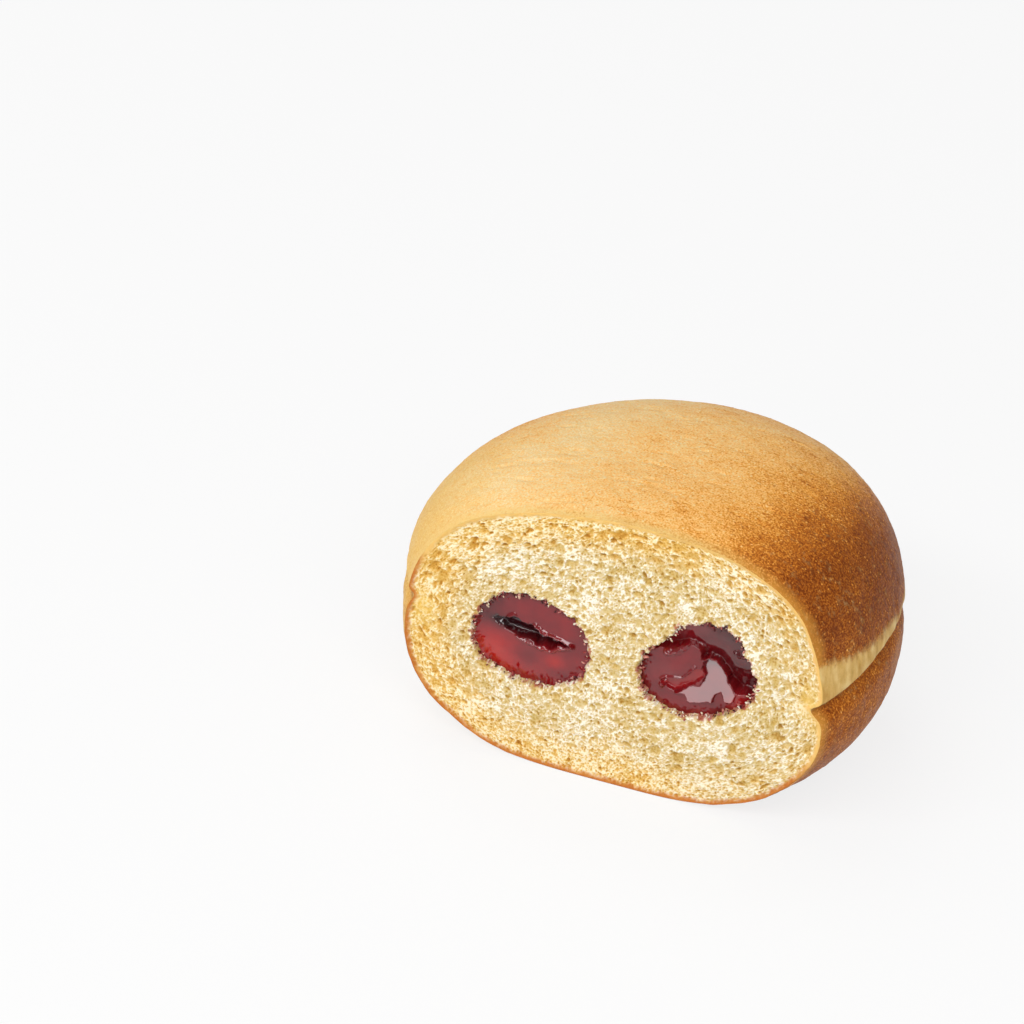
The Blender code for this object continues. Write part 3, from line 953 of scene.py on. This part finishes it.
def crust_material():
    nodes = Nodes("baked_crust")
    speckle = nodes.noise(3000, 2.0)
    mottle = nodes.noise(1100, 3.0)
    patch = nodes.noise(260, 3.0)
    streak = nodes.noise(700, 3.0, stretch=(0.3, 1.0, 1.0))
    # Pale dots: painted glints on small blisters, which the bump below also raises.
    painted_glints_on_blisters = nodes.times(nodes.dots(1500, 0.10, 0.45), nodes.rescale(mottle, 0.45, 0.62))
    # The bake value also holds a painted sheen left of the crown.
    tone = nodes.add(nodes.attribute("bake"), nodes.around(speckle, 0.5))
    tone = nodes.add(tone, nodes.around(mottle, 0.14))
    tone = nodes.add(tone, nodes.around(patch, 0.10))
    tone = nodes.add(tone, nodes.rescale(streak, 0.58, 0.72, 0.0, 0.14))
    tone = nodes.add(tone, nodes.times(painted_glints_on_blisters, -0.34))
    baked = nodes.ramp(tone, CRUST_STOPS)
    golden = nodes.ramp(nodes.add(speckle, nodes.times(painted_glints_on_blisters, -0.4)),
                        [(0.2, srgb(244, 206, 122)), (0.7, srgb(224, 172, 78))])
    colour = nodes.mix(nodes.times(nodes.attribute("yellow"), 0.8), baked, golden)
    rim_gold = nodes.mix(nodes.rescale(tone, 0.2, 0.9), srgb(240, 200, 124), srgb(214, 146, 58))
    colour = nodes.mix(nodes.times(nodes.attribute("near_cut"), 0.75), colour, rim_gold)
    folds = nodes.noise(700, 3.0, stretch=(1.0, 1.0, 0.3))
    folds = nodes.add(folds, nodes.around(patch, 0.25))
    raw = nodes.add(nodes.attribute("raw"), nodes.around(mottle, 0.5))
    raw = nodes.rescale(nodes.add(raw, nodes.around(folds, 0.3)), 0.0, 0.95)
    dough = nodes.ramp(folds, [(0.3, srgb(206, 158, 80)), (0.5, srgb(224, 182, 106)),
                               (0.7, srgb(238, 206, 138))])
    colour = nodes.mix(raw, colour, dough)
    # A painted highlight along the crease's lip, and a painted shadow under it.
    colour = nodes.mix(nodes.times(nodes.attribute("painted_lip_highlight"), 0.7), colour, srgb(248, 226, 180))
    colour = nodes.mix(nodes.times(nodes.attribute("painted_shade"), 0.5), colour, srgb(120, 62, 22))
    nodes.set(Base_Color=colour, Roughness=nodes.rescale(mottle, 0.3, 0.7, 0.42, 0.58),
              Subsurface_Weight=0.08, Subsurface_Radius=(1.0, 0.5, 0.25), Subsurface_Scale=0.001,
              Specular_IOR_Level=0.11)
    fine = nodes.bump(speckle, 0.5, 0.00012)
    fine = nodes.bump(painted_glints_on_blisters, 0.5, 0.00008, fine)
    nodes.set(Normal=nodes.bump(mottle, 0.5, 0.0002, fine))
    return nodes.material


def crumb_material():
    nodes = Nodes("crumb")
    fine = nodes.noise(2600, 3.0)
    web = nodes.dots(1750, 0.12, 0.50)
    # The pore value is painted shade in the bubbles.
    tone = nodes.add(nodes.attribute("painted_pore_shade"), nodes.around(fine, 0.40))
    tone = nodes.add(tone, nodes.around(nodes.noise(240, 3.0), 0.24))
    tone = nodes.add(tone, nodes.rescale(web, 0.0, 1.0, 0.0, 0.20))
    pale = nodes.ramp(tone, [(0.0, srgb(248, 242, 226)), (0.18, srgb(224, 206, 168)),
                             (0.42, srgb(214, 190, 132)), (0.66, srgb(198, 166, 92)),
                             (1.0, srgb(168, 124, 48))])
    golden = nodes.ramp(tone, [(0.0, srgb(248, 234, 198)), (0.18, srgb(235, 206, 142)),
                               (0.42, srgb(222, 178, 92)), (0.66, srgb(204, 150, 58)),
                               (1.0, srgb(170, 112, 34))])
    edge = nodes.attribute("from_edge")
    warmth = nodes.add(nodes.attribute("warm"), nodes.around(nodes.noise(300, 2.0), 0.45))
    warmth = nodes.rescale(warmth, 0.0, 1.0, 0.08, 1.0)
    colour = nodes.mix(warmth, pale, golden)
    colour = nodes.mix(nodes.times(nodes.attribute("doughy"), 0.6), colour,
                       srgb(236, 196, 100))
    rind_tone = nodes.add(nodes.attribute("underside"), nodes.around(nodes.noise(500), 0.4))
    rind_colour = nodes.mix(rind_tone, srgb(238, 192, 110), srgb(190, 112, 44))
    rind = nodes.rescale(nodes.add(edge, nodes.around(nodes.noise(1300, 2.0), 0.6)), 0.2, 1.3,
                         1.0, 0.0)
    colour = nodes.mix(rind, colour, rind_colour)
    soak = nodes.rescale(nodes.add(nodes.attribute("soak"), nodes.around(nodes.noise(1500), 0.8)),
                         0.3, 1.0)
    colour = nodes.mix(nodes.times(soak, 0.9), colour, srgb(172, 76, 70))
    nodes.set(Base_Color=colour, Roughness=0.6, Subsurface_Weight=0.2,
              Subsurface_Radius=(1.0, 0.7, 0.4), Subsurface_Scale=0.0007, Specular_IOR_Level=0.2)
    rough = nodes.bump(fine, 0.7, 0.00015)
    nodes.set(Normal=nodes.bump(web, 0.4, 0.00012, rough))
    return nodes.material


def bits_material():
    nodes = Nodes("torn_crumbs")
    tone = nodes.add(nodes.attribute("soaked"), nodes.around(nodes.noise(1500, 3.0), 0.5))
    colour = nodes.ramp(tone, [(0.0, srgb(250, 242, 226)), (0.35, srgb(236, 212, 180)),
                               (0.55, srgb(206, 132, 120)), (0.75, srgb(150, 48, 46)),
                               (1.0, srgb(70, 18, 20))])
    nodes.set(Base_Color=colour, Roughness=0.45, Specular_IOR_Level=0.3)
    return nodes.material


def jelly_material():
    nodes = Nodes("fruit_jelly")
    tone = nodes.add(nodes.attribute("red"), nodes.around(nodes.noise(300, 4.0), 0.16))
    colour = nodes.ramp(tone, [(0.0, srgb(38, 5, 9)), (0.25, srgb(80, 9, 14)),
                               (0.5, srgb(118, 18, 24)), (0.7, srgb(142, 22, 24)),
                               (0.85, srgb(156, 22, 20)), (1.0, srgb(168, 28, 20))])
    nodes.set(Base_Color=colour, Roughness=0.05, IOR=1.45, Subsurface_Weight=0.12,
              Subsurface_Radius=(1.0, 0.15, 0.1), Subsurface_Scale=0.002,
              Specular_IOR_Level=0.8)
    nodes.set(Normal=nodes.bump(nodes.noise(500, 2.0), 0.05, 0.0003))
    return nodes.material


# ------------------------------ stage

# Light panels: azimuth and elevation in degrees, then distance, width and height in metres,
# and power in watts. The key is a wide strip, which the wet lips of the jelly reflect.
LIGHTS = {
    "key": (-4, 47, 1.0, 1.7, 0.24, 8.6),
    "fill": (35, 35, 1.2, 0.7, 0.7, 0.4),
    "front": (-14, 8, 1.1, 0.36, 0.36, 1.9),
    "top": (-130, 60, 1.1, 0.6, 0.6, 2.4),
}
WORLD_LIGHT = 0.33
FLOOR_SIZE = 3.0
FLOOR_GREY = 0.85
FLOOR_WHITE = 0.8           # how much of the floor's shadow the plain white covers

def make_camera():
    back = Vector((sin(VIEW_AZIMUTH) * cos(VIEW_ELEVATION),
                   -cos(VIEW_AZIMUTH) * cos(VIEW_ELEVATION), sin(VIEW_ELEVATION)))
    level_right = Vector((cos(VIEW_AZIMUTH), sin(VIEW_AZIMUTH), 0.0))
    level_up = back.cross(level_right)
    right = level_right * cos(VIEW_TURN) - level_up * sin(VIEW_TURN)
    up = level_right * sin(VIEW_TURN) + level_up * cos(VIEW_TURN)
    forward = (-back - right * VIEW_ACROSS + up * VIEW_DOWN).normalized()
    right = (right - forward * right.dot(forward)).normalized()
    up = right.cross(forward)
    data = bpy.data.cameras.new("camera")
    data.lens = LENS
    data.sensor_width = SENSOR
    data.clip_start = 0.05
    camera = bpy.data.objects.new("camera", data)
    target = Vector(to_frame(np.array([0.0, 0.0, VIEW_HEIGHT])))
    turn = Matrix((right, up, -forward)).transposed().to_4x4()
    camera.matrix_world = Matrix.Translation(target + back * VIEW_DISTANCE) @ turn
    show(camera)
    bpy.context.scene.camera = camera


def add_light(name, azimuth, elevation, distance, width, height, power):
    """A soft light panel that looks at the doughnut."""
    data = bpy.data.lights.new(name, "AREA")
    data.shape = "RECTANGLE"
    data.size = width
    data.size_y = height
    data.energy = power
    light = bpy.data.objects.new(name, data)
    a, e = radians(azimuth), radians(elevation)
    away = Vector((sin(a) * cos(e), -cos(a) * cos(e), sin(e)))
    light.location = away * distance + Vector((0, 0, 0.025))
    light.rotation_euler = away.to_track_quat("Z", "Y").to_euler()
    show(light)


def make_floor():
    """A pale floor that looks white to the camera and keeps a soft shadow."""
    mesh = bpy.data.meshes.new("floor")
    work = bmesh.new()
    bmesh.ops.create_grid(work, x_segments=1, y_segments=1, size=FLOOR_SIZE)
    work.to_mesh(mesh)
    work.free()
    floor = bpy.data.objects.new("floor", mesh)
    show(floor)
    material = bpy.data.materials.new("white_table")
    material.use_nodes = True
    tree = material.node_tree
    tree.nodes.clear()
    new, link = tree.nodes.new, tree.links.new
    output = new("ShaderNodeOutputMaterial")
    diffuse = new("ShaderNodeBsdfDiffuse")
    diffuse.inputs["Color"].default_value = (FLOOR_GREY, FLOOR_GREY, FLOOR_GREY, 1.0)
    white = new("ShaderNodeEmission")
    mixed = new("ShaderNodeMixShader")
    path = new("ShaderNodeLightPath")
    seen = new("ShaderNodeMath")
    seen.operation = "MAXIMUM"
    link(path.outputs["Is Camera Ray"], seen.inputs[0])
    link(path.outputs["Is Glossy Ray"], seen.inputs[1])
    share = new("ShaderNodeMath")
    share.operation = "MULTIPLY"
    share.inputs[1].default_value = FLOOR_WHITE
    link(seen.outputs[0], share.inputs[0])
    link(share.outputs[0], mixed.inputs["Fac"])
    link(diffuse.outputs[0], mixed.inputs[1])
    link(white.outputs[0], mixed.inputs[2])
    link(mixed.outputs[0], output.inputs["Surface"])
    mesh.materials.append(material)


def make_world():
    world = bpy.data.worlds.new("studio")
    world.use_nodes = True
    tree = world.node_tree
    tree.nodes.clear()
    new, link = tree.nodes.new, tree.links.new
    output = new("ShaderNodeOutputWorld")
    soft = new("ShaderNodeBackground")
    soft.inputs["Strength"].default_value = WORLD_LIGHT
    white = new("ShaderNodeBackground")
    white.inputs["Strength"].default_value = 1.0
    for node in (soft, white):
        node.inputs["Color"].default_value = (1.0, 1.0, 1.0, 1.0)
    mixed = new("ShaderNodeMixShader")
    path = new("ShaderNodeLightPath")
    link(path.outputs["Is Camera Ray"], mixed.inputs["Fac"])
    link(soft.outputs[0], mixed.inputs[1])
    link(white.outputs[0], mixed.inputs[2])
    link(mixed.outputs[0], output.inputs["Surface"])
    bpy.context.scene.world = world


def make_stage():
    make_camera()
    make_floor()
    make_world()
    for name, panel in LIGHTS.items():
        add_light(name, *panel)
    bpy.context.scene.view_settings.view_transform = "Standard"


make_stage()
crust = crust_material()
dome_rim = crust_piece("crust_dome", True, crust)
under_rim = crust_piece("crust_underside", False, crust)
crumb_piece([dome_rim, under_rim], crumb_material())
jelly = jelly_material()
for pocket_side in POCKETS:
    jelly_piece(pocket_side, jelly)
crumb_bits(bits_material())
